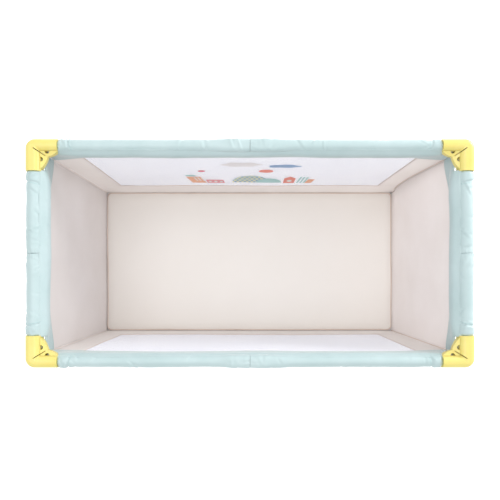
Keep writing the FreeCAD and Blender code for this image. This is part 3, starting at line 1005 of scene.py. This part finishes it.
@dataclass
class Walls:
    """The four cloth walls, their mint top bands, bindings and stitches.

    Attributes:
        border: width of the cloth border at each end of a netting panel.
        band_top: height of the top edge of the cloth band under the netting.
        mint_bottom: height of the mint band's lower edge, away from the corners.
        panel_top: height of the panels' top edges, sewn behind the mint band.
        mint_drop: how much lower that edge is at the corners.
        rail_tuck: how far the mint band's top edge is tucked into the sleeve.
        band_bulge: how far each side's padded mint band stands into the pen.
        band_rise: how far the mint band's top stands above its lower edge.
        pull: how far the right wall's cloth is drawn into the pen beside its back corner.
        draw_in: how far a wall's cloth is drawn into the pen between its edges.
        under_bracket: the highest that the mint band goes under a bracket.
    """

    stitcher: Stitcher
    thickness: float = 0.0012
    border: float = 0.097
    band_top: float = 0.232
    mint_bottom: float = 0.7
    mint_drop: float = 0.042
    mint_drop_width: float = 0.075
    top: float = 0.742
    panel_top: float = 0.714
    rail_tuck: float = 0.0085
    band_bulge: dict[Rail, float] = field(default_factory=lambda: {
        Rail.FRONT: 0.001, Rail.BACK: 0.006, Rail.LEFT: 0.012, Rail.RIGHT: 0.011})
    band_rise: float = 0.0515
    pull: float = 0.025
    draw_in: float = 0.0028
    under_bracket: float = 0.731

    def build(self) -> None:
        """Builds every wall."""
        for side in SIDES:
            half, middle, bottom = side.wall_plane()
            make_wall = self.mesh_wall if side.long else self.plain_wall
            pieces = make_wall(side, half, middle, bottom)
            pieces.append(self.mint_band(side, half, middle))
            pieces.append(self.binding_line(side, half, middle))
            for piece in pieces:
                side.ride_wall(piece, half)
            LOG.info("built the %s wall from %d pieces", side.name, len(pieces))

    def mint_edge(self, along: np.ndarray, half: float) -> np.ndarray:
        """Gives the height of the mint band's lower edge."""
        return self.mint_bottom - self.mint_drop * bump(half - np.abs(along), 0.0, self.mint_drop_width)

    def sag(self, side: Side, along: np.ndarray, up: np.ndarray, half: float) -> np.ndarray:
        """Gives how far a wall's cloth stands out from its flat plane."""
        places = np.stack([along, up, np.zeros_like(along)], -1)
        free = np.clip((half - np.abs(along)) / 0.08, 0, 1) * np.clip((up - 0.047) / 0.06, 0, 1)
        free = free * np.clip((self.top - up) / 0.05, 0, 1)
        sway = free * (0.0012 * ripple(places * (1, 0.45, 1), side.seed, 0.32, 3) - self.draw_in)
        if side.rail is Rail.RIGHT:
            clear = smooth_step(up, 0.085, 0.17) * bump(up, 0.34, 0.26)
            sway = sway - self.pull * clear * bump(along, half, 0.11)
        return sway

    def sheet(self, name: str, side: Side, middle: float, half: float, columns: np.ndarray,
              rows: Callable[[np.ndarray, np.ndarray], np.ndarray] | np.ndarray,
              finish: Finish, lift: float = 0.0) -> bpy.types.Object:
        """Builds a stretch of wall cloth.

        Args:
            name: the piece's name.
            side: the pen's side.
            middle: the wall's distance from the pen's middle.
            half: half the wall's length.
            columns: distances along the wall.
            rows: heights, or a function from share of the way up and distance along to height.
            finish: the cloth's finish.
            lift: how far it stands into the pen.

        Returns:
            The piece, without thickness.
        """
        if callable(rows):
            along, share = np.meshgrid(columns, np.linspace(0, 1, 14), indexing="ij")
            up = rows(share, along)
        else:
            along, up = np.meshgrid(columns, rows, indexing="ij")
        out = middle + self.sag(side, along, up, half) - lift
        return Surface(side.place(along, up, out), np.stack([along, up], -1)).build(name, FINISHES.of(finish))

    def mesh_wall(self, side: Side, half: float, middle: float, bottom: float) -> list[bpy.types.Object]:
        """Builds a long wall: a netting panel in a cloth border."""
        inner = half - self.border
        net = self.sheet(f"netting_{side.name}", side, middle, half, np.linspace(-inner - 0.006, inner + 0.006, 150),
                         np.linspace(self.band_top - 0.006, self.panel_top, 60), NETTING)
        band = self.sheet(f"wall_band_{side.name}", side, middle, half, np.linspace(-half, half, 170),
                          np.linspace(bottom, self.band_top, 16), SAND)
        thicken(band, self.thickness)
        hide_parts(f"{side.name}_wall")
        pieces = [net, band]
        for end, sign in (("left", -1), ("right", 1)):
            span = np.linspace(inner, half, 16) * sign
            strip = self.sheet(f"wall_border_{side.name}_{end}", side, middle, half, np.sort(span),
                               np.linspace(self.band_top, self.panel_top, 60), SAND)
            thicken(strip, self.thickness)
            pieces.append(strip)
        pieces.append(self.frame_binding(side, inner, middle, half))
        return pieces

    def frame_binding(self, side: Side, inner: float, middle: float, half: float) -> bpy.types.Object:
        """Builds the thin tape around a netting panel, on its inside."""
        heights = np.linspace(self.panel_top - 0.003, self.band_top, 60)
        level = np.linspace(-inner, inner, 120)
        along = np.concatenate([np.full(60, -inner), level[1:-1], np.full(60, inner)])
        up = np.concatenate([heights, np.full(118, self.band_top), heights[::-1]])
        out = middle + self.sag(side, along, up, half) - self.thickness / 2 - 0.0004
        tape = tube_along(side.place(along, up, out), 0.0009, 6)
        piece = tape.build(f"panel_binding_{side.name}", FINISHES.of(BINDING))
        return piece

    def plain_wall(self, side: Side, half: float, middle: float, bottom: float) -> list[bpy.types.Object]:
        """Builds an end wall: one ribbed cloth panel."""
        panel = self.sheet(f"end_panel_{side.name}", side, middle, half, np.linspace(-half, half, 110),
                           np.linspace(bottom, self.panel_top, 120), RIBBED)
        thicken(panel, self.thickness)
        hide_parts(f"{side.name}_wall")
        return [panel]

    def mint_band(self, side: Side, half: float, middle: float) -> bpy.types.Object:
        """Builds the mint cloth that runs from the rail's sleeve down the wall's top, inside and out."""
        columns = np.linspace(-half, half, 260)
        bracket_end = side.bracket_end()

        def heights(share: np.ndarray, along: np.ndarray) -> np.ndarray:
            """Spreads the band's rows between its lower edge and its top."""
            edge = self.mint_edge(along, half)
            clear = smooth_step(bracket_end - np.abs(along), -0.005, -0.002)
            top = self.under_bracket + clear * (self.mint_bottom + self.band_rise - self.under_bracket)
            return edge + share * (top - edge)

        band = self.sheet(f"mint_band_{side.name}", side, middle, half, columns, heights, MINT, lift=0.0006)
        places = places_of(band.data)
        along, up = places @ np.array(side.along), places[:, 2]
        share = np.clip((up - self.mint_bottom) / self.band_rise, 0, 1)
        inwards = self.band_bulge[side.rail] * smooth_step(half - np.abs(along), 0.01, 0.09)
        inwards = inwards * (1 + 0.16 * ripple(places, side.seed + 5, 0.2, 2)) * np.sin(math.pi * share**0.9)
        inwards += 0.0007 * ripple(places, side.seed, 0.05, 3) * share
        inwards -= self.rail_tuck * smooth_step(share, 0.66, 1)
        move_to(band.data, places - inwards[:, None] * np.array(side.out))
        thicken(band, self.thickness + 0.002)
        return band

    def binding_line(self, side: Side, half: float, middle: float) -> bpy.types.Object:
        """Sews the line of stitches along the mint band's lower edge, on the inside."""
        along = np.linspace(-half + 0.001, half - 0.001, 240)
        up = self.mint_edge(along, half)
        out = np.full_like(along, middle - self.thickness - 0.0016)
        piece = self.stitcher.sew(f"band_stitches_{side.name}", [side.place(along, up + 0.004, out)], THREAD)
        return piece


@dataclass
class CornerSeams:
    """What closes each corner: the post's cover, its fin to the wall's corner, and the piping."""

    walls: Walls
    fin_thickness: float = 0.0016
    piping: float = 0.0014
    cover_sides: int = 40

    def build(self) -> None:
        """Builds every corner."""
        for number, corner in enumerate(CORNERS):
            self.corner(corner, seed=90 + number)

    def corner(self, corner: str, seed: int) -> None:
        """Builds one corner.

        Args:
            corner: the corner's name.
            seed: fixes its wrinkles.
        """
        low, high = (np.array(place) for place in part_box(f"post_cover_{corner}"))
        middle, radius = (low + high) / 2, (high[0] - low[0]) / 2
        body = f"post_{corner}"
        heights = np.linspace(low[2], high[2], 170)
        turn = np.linspace(0, FULL_TURN, self.cover_sides, endpoint=False)
        up, around = np.meshgrid(heights, turn, indexing="ij")
        places = np.stack([radius * np.cos(around), radius * np.sin(around), up], -1)
        reach = radius + 0.0005 + 0.0005 * ripple(places * (1, 1, 0.5), seed, 0.04, 3)
        points = np.stack([middle[0] + reach * np.cos(around), middle[1] + reach * np.sin(around), up], -1)
        surface = Surface(points, weave_round(heights, self.cover_sides, radius), round=True, capped=True)
        cover = surface.build(f"post_sleeve_{corner}", FINISHES.of(SAND))
        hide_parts(f"post_cover_{corner}")
        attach(cover, body)
        seam = self.wall_corner(middle)
        self.fin(corner, middle, seam, heights, seed, body)
        self.pipe(corner, seam, body)
        LOG.info("built corner %s", corner)

    def wall_corner(self, post: np.ndarray) -> np.ndarray:
        """Gives the place where two walls' inside faces meet, nearest a post."""
        across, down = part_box("back_wall")[1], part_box("right_wall")[1]
        return np.array([math.copysign(down[0] - SEAM_INSET, post[0]),
                         math.copysign(across[1] - SEAM_INSET, post[1]), 0.0])

    def drawn(self, corner: str, seam: np.ndarray, up: np.ndarray) -> np.ndarray:
        """Gives how far the end wall's cloth draws a corner's seam along the long wall."""
        if corner != "back_right":
            return np.zeros_like(up)
        side = SIDE_OF[Rail.RIGHT]
        return -self.walls.sag(side, np.full_like(up, abs(seam[1])), up, abs(seam[1]))

    def fin(self, corner: str, post: np.ndarray, seam: np.ndarray, heights: np.ndarray, seed: int, body: str) -> None:
        """Builds the doubled cloth between a post's cover and the walls' corner."""
        share = np.linspace(0, 1, 8)
        up, part = np.meshgrid(heights, share, indexing="ij")
        places = np.stack([up, part * 0.03, np.zeros_like(up)], -1)
        sway = 0.0009 * np.sin(part * math.pi) * ripple(places, seed, 0.09, 2)
        drawn = self.drawn(corner, seam, heights)
        ends = np.stack([seam[0] - np.sign(seam[0]) * drawn, np.full_like(drawn, seam[1])], -1)
        flat = post[:2] * (1 - part[..., None]) + ends[:, None] * part[..., None]
        across = np.array([-(seam - post)[1], (seam - post)[0]]) / np.linalg.norm((seam - post)[:2])
        points = np.concatenate([flat + sway[..., None] * across, up[..., None]], -1)
        weave = np.stack([up, part * 0.03], -1)
        piece = thicken(Surface(points, weave).build(f"corner_fin_{corner}", FINISHES.of(SAND)), self.fin_thickness)
        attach(piece, body)

    def pipe(self, corner: str, seam: np.ndarray, body: str) -> None:
        """Builds the piping up the inside corner, where the end wall's cloth meets the long wall."""
        sign_x, sign_y = np.sign(seam[:2])
        up = np.linspace(0.06, 0.668, 90)
        drawn = self.drawn(corner, seam, up)
        path = np.stack([seam[0] - sign_x * (self.piping + 0.0016 + drawn),
                         np.full_like(up, seam[1] - sign_y * (self.piping + 0.0012)), up], -1)
        finish = EDGING if corner.endswith("left") else BINDING
        piece = tube_along(path, self.piping).build(f"corner_piping_{corner}", FINISHES.of(finish))
        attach(piece, body)


# Floor and mattress


@dataclass
class FloorSheet:
    """The cloth floor, in four quarters, each riding on a base arm."""

    keep: float = 0.16
    sag: float = 0.0008
    to_wall: float = 0.002

    def build(self) -> None:
        """Builds each quarter on its arm."""
        low, high = (np.array(place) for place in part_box("floor_sheet"))
        for number, corner in enumerate(CORNERS):
            side_x = 1 if corner.endswith("right") else -1
            side_y = 1 if corner.startswith("back") else -1
            self.quarter(corner, side_x, side_y, high, low[2], seed=130 + number)

    def quarter(self, corner: str, side_x: int, side_y: int, high: np.ndarray, bottom: float, seed: int) -> None:
        """Builds one quarter.

        Args:
            corner: the corner's name.
            side_x: -1 on the left and 1 on the right.
            side_y: -1 in front and 1 at the back.
            high: the floor's highest corner.
            bottom: the height of its underside.
            seed: fixes its ripples.
        """
        x, y = np.meshgrid(side_x * np.linspace(0.0004, high[0] + self.to_wall, 60),
                           side_y * np.linspace(0.0004, high[1] + self.to_wall, 34), indexing="ij")
        middle = (bottom + high[2]) / 2
        z = middle + self.sag * 0.4 * ripple(np.stack([x, y, 0 * x], -1), seed, 0.2, 2)
        piece = thicken(Surface(np.stack([x, y, z], -1), np.stack([x, y], -1)).build(
            f"floor_cloth_{corner}", FINISHES.of(SAND)), 0.0014)
        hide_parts("floor_sheet")
        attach(piece, f"arm_{corner}")
        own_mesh(piece)


@dataclass
class Mattress:
    """The padded mattress: an inflated cover with piping round its upper and lower edges.

    Attributes:
        shrink: how much smaller the cover is cut than the finished mattress, each way.
        voxel: size of the cloth's faces.
        cap: the most that a point may swell.
    """

    shrink: float = 0.003
    voxel: float = 0.006
    cap: float = 0.003
    frames: int = 20
    pressure: float = 4.0
    piping: float = 0.0021

    def build(self) -> None:
        """Builds the cover, then its piping."""
        low, high = (np.array(place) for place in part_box("mattress"))
        cover = self.cover(low, high)
        self.inflate(cover)
        self.finish_shape(cover, low, high)
        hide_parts("mattress")
        pieces = [cover]
        for name, height in (("upper", high[2] - 0.0008), ("lower", low[2] + 0.004)):
            pieces.append(self.edge_piping(name, low, high, height))
        for piece in pieces:
            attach(piece, "mattress")
            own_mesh(piece)
        LOG.info("built the mattress from %d pieces", len(pieces))

    def outline(self, low: np.ndarray, high: np.ndarray, inset: float, corner: float) -> np.ndarray:
        """Gives the mattress's outline with its pulled-in sides.

        Args:
            low: its lowest corner.
            high: its highest corner.
            inset: how far inside its box the outline runs.
            corner: the corners' radius.

        Returns:
            Points round the outline, x and y.
        """
        half = (high - low)[:2] / 2 - inset
        points = []
        for turn, sign_x, sign_y in ((0, 1, 1), (1, -1, 1), (2, -1, -1), (3, 1, -1)):
            centre = np.array([sign_x * (half[0] - corner), sign_y * (half[1] - corner)])
            angles = np.linspace(0, math.pi / 2, 12) + turn * math.pi / 2
            points.append(centre + corner * np.stack([np.cos(angles), np.sin(angles)], -1))
            following = np.roll(np.array([[1, 1], [-1, 1], [-1, -1], [1, -1]]), -1, axis=0)[turn]
            start = points[-1][-1]
            next_centre = following * (half - corner)
            end = next_centre + corner * np.array([math.cos(angles[-1]), math.sin(angles[-1])])
            points.append(start + (end - start) * np.linspace(0, 1, 90)[1:-1, None])
        path = np.concatenate(points)
        draw_in = 0.0018 * ripple(np.concatenate([path, np.zeros((len(path), 1))], 1), 7, 0.4, 2)
        return path * (1 - (0.0012 + draw_in)[:, None] / half.max())

    def cover(self, low: np.ndarray, high: np.ndarray) -> bpy.types.Object:
        """Builds the cover as cut, before it is filled."""
        path = self.outline(low, high, self.shrink, 0.018)
        mesh = bpy.data.meshes.new("mattress_cover")
        count = len(path)
        bottom, top = low[2] + 0.002, high[2] - 0.002
        points = [(*place, bottom) for place in path] + [(*place, top) for place in path]
        faces = [list(range(count))[::-1], list(range(count, 2 * count))]
        faces += [[i, (i + 1) % count, (i + 1) % count + count, i + count] for i in range(count)]
        mesh.from_pydata(points, [], faces)
        piece = link_object("mattress_cover", mesh, FINISHES.of(CREAM))
        remesh = piece.modifiers.new("remesh", "REMESH")
        remesh.mode = "VOXEL"
        remesh.voxel_size = self.voxel
        return settle(piece)

    def inflate(self, piece: bpy.types.Object) -> None:
        """Fills the cover: cloth under pressure, with each point's swell capped.

        Args:
            piece: the cover, which keeps the result.
        """
        before = places_of(piece.data)
        cloth = piece.modifiers.new("fill", "CLOTH")
        cloth.settings.use_pressure = True
        cloth.settings.uniform_pressure_force = self.pressure
        cloth.settings.effector_weights.gravity = 0
        cloth.settings.quality = 4
        cloth.point_cache.frame_end = self.frames
        scene = bpy.context.scene
        for step in range(1, self.frames + 1):
            scene.frame_set(step)
        settle(piece)
        scene.frame_set(1)
        moved = places_of(piece.data) - before
        length = np.linalg.norm(moved, axis=1, keepdims=True)
        move_to(piece.data, before + moved * np.minimum(1, self.cap / np.maximum(length, 1e-9)))

    def finish_shape(self, piece: bpy.types.Object, low: np.ndarray, high: np.ndarray) -> None:
        """Smooths the cover, crowns its top, presses it flat below and keeps it in its space."""
        smooth = piece.modifiers.new("smooth", "SMOOTH")
        smooth.factor = 0.5
        smooth.iterations = 3
        settle(piece)
        places = places_of(piece.data)
        half = (high - low)[:2] / 2
        places[:, :2] *= half / np.abs(places[:, :2]).max(0)
        edge = np.clip(np.minimum(half[0] - np.abs(places[:, 0]), half[1] - np.abs(places[:, 1])) / 0.04, 0, 1)
        upper = smooth_step(places[:, 2], (low[2] + high[2]) / 2, high[2] - 0.004)
        crown = 0.0042 * (1 - (1 - edge) ** 2) + 0.0012 * edge * ripple(places * (1, 1, 0), 5, 0.5, 2)
        places[:, 2] += upper * crown
        places[:, 2] = np.maximum(places[:, 2], low[2] + 0.0002)
        for axis in (0, 1):
            places[:, axis] = np.clip(places[:, axis], -half[axis], half[axis])
        move_to(piece.data, places)
        piece.data.polygons.foreach_set("use_smooth", [True] * len(piece.data.polygons))
        piece.data.update()

    def edge_piping(self, name: str, low: np.ndarray, high: np.ndarray, height: float) -> bpy.types.Object:
        """Builds the piping round the mattress at a height."""
        path = self.outline(low, high, 0.0024, 0.016)
        waver = 0.0006 * ripple(np.concatenate([path, np.full((len(path), 1), height)], 1), 17, 0.15, 2)
        ring = np.concatenate([path, (height + waver)[:, None]], 1)
        closed = np.concatenate([ring, ring[:2]])
        piece = tube_along(closed, self.piping).build(f"mattress_piping_{name}", FINISHES.of(BINDING))
        return piece


# Printed panel


@dataclass
class PrintedShape:
    """One flat printed shape on the back netting, in metres along the wall and up it."""

    name: str
    outline: Sequence[tuple[float, float]]
    finish: Finish
    layer: int = 0


def ellipse(x: float, z: float, half_x: float, half_z: float, count: int = 28) -> list[tuple[float, float]]:
    """Gives points round an ellipse."""
    turns = np.linspace(0, FULL_TURN, count, endpoint=False)
    return [(x + half_x * math.cos(t), z + half_z * math.sin(t)) for t in turns]


def slanted_box(x: float, z: float, width: float, height: float, slant: float = 0.0) -> list[tuple[float, float]]:
    """Gives a box's corners from its lower left one, with its top moved along by slant."""
    return [(x, z), (x + width, z), (x + width + slant, z + height), (x + slant, z + height)]


def cloud(x: float, z: float, half_x: float, half_z: float, lobes: int) -> list[tuple[float, float]]:
    """Gives points round an ellipse with lobes."""
    turns = np.linspace(0, FULL_TURN, 64, endpoint=False)
    return [(x + half_x * math.cos(t) * (1 + 0.1 * math.cos(lobes * t)),
             z + half_z * math.sin(t) * (1 + 0.1 * math.cos(lobes * t))) for t in turns]


def hill(x: float, z: float, half: float, height: float, count: int) -> list[tuple[float, float]]:
    """Gives points over the upper half of an ellipse that stands on its middle line."""
    return [(x + half * math.cos(t), z + height * math.sin(t)) for t in np.linspace(0, math.pi, count)]


@dataclass
class PrintedPanel:
    """The printed motif on the back wall: two clouds, a sun, two hills and toy houses."""

    centre: float = 0.024
    lift: float = 0.0012
    layer_gap: float = 0.0004
    ground: float = 0.303
    longest_edge: float = 0.03

    def shapes(self) -> list[PrintedShape]:
        """Gives every printed shape."""
        pale = print_cloth("pale_cloud", 240, 236, 237)
        blue = print_cloth("blue_band", 140, 172, 212)
        coral = print_cloth("coral", 240, 138, 120)
        orange = print_cloth("orange", 246, 178, 140)
        rose = print_cloth("rose", 238, 150, 158)
        mint = print_cloth("mint", 172, 216, 214)
        white = print_cloth("white", 240, 236, 234)
        red = print_cloth("red", 228, 98, 120)
        dots = DottedFinish("dotted_hill", linear(206, 219, 222), linear(128, 168, 194), dot=linear(240, 232, 156))
        c = self.centre
        found = [
            PrintedShape("pale_cloud", cloud(c - 0.05, 0.6, 0.06, 0.03, 6), pale),
            PrintedShape("blue_cloud", cloud(c + 0.085, 0.57, 0.05, 0.022, 5), blue),
            PrintedShape("sun", ellipse(c + 0.03, 0.495, 0.024, 0.024), coral),
            PrintedShape("dotted_hill", hill(c - 0.02, self.ground, 0.066, 0.12, 32), dots),
            PrintedShape("mint_hill", hill(c + 0.045, self.ground, 0.046, 0.075, 24), mint, 1),
            PrintedShape("left_house", slanted_box(-0.208, 0.292, 0.052, 0.115, -0.012), orange),
            PrintedShape("left_house_roof", ellipse(-0.202, 0.43, 0.018, 0.012), mint),
            PrintedShape("rose_block", slanted_box(-0.152, 0.29, 0.062, 0.06, -0.004), rose),
            PrintedShape("small_mark", ellipse(-0.158, 0.505, 0.012, 0.012), red),
            PrintedShape("right_house", [(0.122, 0.29), (0.162, 0.29), (0.162, 0.38), (0.142, 0.408),
                                         (0.122, 0.38)], coral),
            PrintedShape("right_house_door", ellipse(0.142, 0.335, 0.009, 0.018), white, 1),
            PrintedShape("orange_block", slanted_box(0.2, 0.29, 0.024, 0.07, 0.008), orange),
        ]
        for number in range(3):
            bar = slanted_box(-0.1885 + 0.012 * number, 0.33, 0.005, 0.07, -0.007)
            spot = ellipse(-0.142 + 0.02 * number, 0.32, 0.006, 0.012)
            mint_bar = slanted_box(0.17 + 0.012 * number, 0.292, 0.006, 0.112, 0.006)
            found.append(PrintedShape(f"left_house_bar_{number}", bar, white, 1))
            found.append(PrintedShape(f"rose_block_spot_{number}", spot, white, 1))
            found.append(PrintedShape(f"mint_bar_{number}", mint_bar, mint))
        return found

    def build(self, walls: Walls) -> None:
        """Lays every shape on the back wall.

        Args:
            walls: gives the wall's plane and sag.
        """
        side = SIDE_OF[Rail.BACK]
        half, middle, _ = side.wall_plane()
        for shape in self.shapes():
            work = bmesh.new()
            corners = [work.verts.new((x, z, 0)) for x, z in shape.outline]
            work.faces.new(corners)
            bmesh.ops.triangulate(work, faces=work.faces)
            for _ in range(3):
                long_edges = [edge for edge in work.edges if edge.calc_length() > self.longest_edge]
                bmesh.ops.subdivide_edges(work, edges=long_edges, cuts=1, use_grid_fill=False)
                bmesh.ops.triangulate(work, faces=work.faces)
            mesh = bpy.data.meshes.new(f"print_{shape.name}")
            work.to_mesh(mesh)
            work.free()
            flat = places_of(mesh)
            sag = walls.sag(side, flat[:, 0], flat[:, 1], half)
            out = middle + sag - self.lift - self.layer_gap * shape.layer
            move_to(mesh, side.place(flat[:, 0], flat[:, 1], out))
            layer = mesh.uv_layers.new(name=WEAVE_MAP)
            for loop in mesh.loops:
                layer.data[loop.index].uv = flat[loop.vertex_index][:2]
            face_inwards(mesh, side)
            piece = link_object(f"print_{shape.name}", mesh, FINISHES.of(shape.finish))
            side.ride_wall(piece, half)
        LOG.info("printed the back wall")


def face_inwards(mesh: bpy.types.Mesh, side: Side) -> None:
    """Turns a flat print's faces into the pen."""
    outward = Vector(side.out)
    with editing(mesh) as work:
        bmesh.ops.reverse_faces(work, faces=[face for face in work.faces if face.normal.dot(outward) > 0])


# Studio


@dataclass
class Studio:
    """The pale floor, the soft lights and the camera straight above."""

    camera_place: tuple[float, float, float] = (-0.0056, -0.072, 2.231)
    lens: float = 38.0
    shift: tuple[float, float] = (0.004, 0.058)
    floor_size: float = 12.0
    floor_glow: float = 0.4
    sky: float = 0.86
    lamps: tuple = (
        ("overhead_light", (-0.5, 0.2, 4.2), (0.0, 0.0, 0.0), 2.6, 55.0),
        ("key_light", (2.8, 1.8, 1.4), (0.0, 0.0, 0.6), 1.4, 80.0),
    )

    def build(self) -> None:
        """Builds the studio."""
        self.floor()
        self.lights()
        self.camera()

    def floor(self) -> None:
        """Builds the pale floor, which glows a little so that no shadow falls beside the pen."""
        half = self.floor_size / 2
        mesh = bpy.data.meshes.new("studio_floor")
        mesh.from_pydata([(-half, -half, 0), (half, -half, 0), (half, half, 0), (-half, half, 0)], [], [(0, 1, 2, 3)])
        material = HardFinish("studio_floor", (0.9, 0.9, 0.9), (0.92, 0.92, 0.92), roughness=0.9, wear=0.0).make()
        graph = Graph(material.node_tree)
        glow = {"Emission Color": (1, 1, 1, 1), "Emission Strength": self.floor_glow}
        graph.fill(graph.tree.nodes["Principled BSDF"], glow)
        link_object("studio_floor", mesh, material)

    def lights(self) -> None:
        """Adds a wide overhead light, a key light low on the back right, and a broad sky."""
        for name, place, target, size, power in self.lamps:
            light = bpy.data.lights.new(name, "AREA")
            light.energy, light.size = power, size
            lamp = bpy.data.objects.new(name, light)
            lamp.location = place
            lamp.rotation_mode = "QUATERNION"
            lamp.rotation_quaternion = (Vector(target) - Vector(place)).to_track_quat("-Z", "Y")
            bpy.context.scene.collection.objects.link(lamp)
        world = bpy.data.worlds.new("studio")
        world.use_nodes = True
        world.node_tree.nodes["Background"].inputs[0].default_value = (1, 1, 1, 1)
        world.node_tree.nodes["Background"].inputs[1].default_value = self.sky
        bpy.context.scene.world = world
        bpy.context.scene.view_settings.view_transform = "Standard"

    def camera(self) -> None:
        """Adds the camera, looking straight down."""
        data = bpy.data.cameras.new("overhead")
        data.lens = self.lens
        data.shift_x, data.shift_y = self.shift
        data.dof.use_dof = False
        camera = bpy.data.objects.new("overhead", data)
        camera.location = self.camera_place
        bpy.context.scene.collection.objects.link(camera)
        bpy.context.scene.camera = camera


def main() -> None:
    """Builds the whole visual model."""
    logging.basicConfig(level=logging.INFO, format="%(name)s: %(message)s")
    stitcher = Stitcher()
    HardParts().build()
    RailSleeves(stitcher).build()
    walls = Walls(stitcher)
    walls.build()
    CornerSeams(walls).build()
    FloorSheet().build()
    Mattress().build()
    PrintedPanel().build(walls)
    Studio().build()


if __name__ == "__main__":
    main()
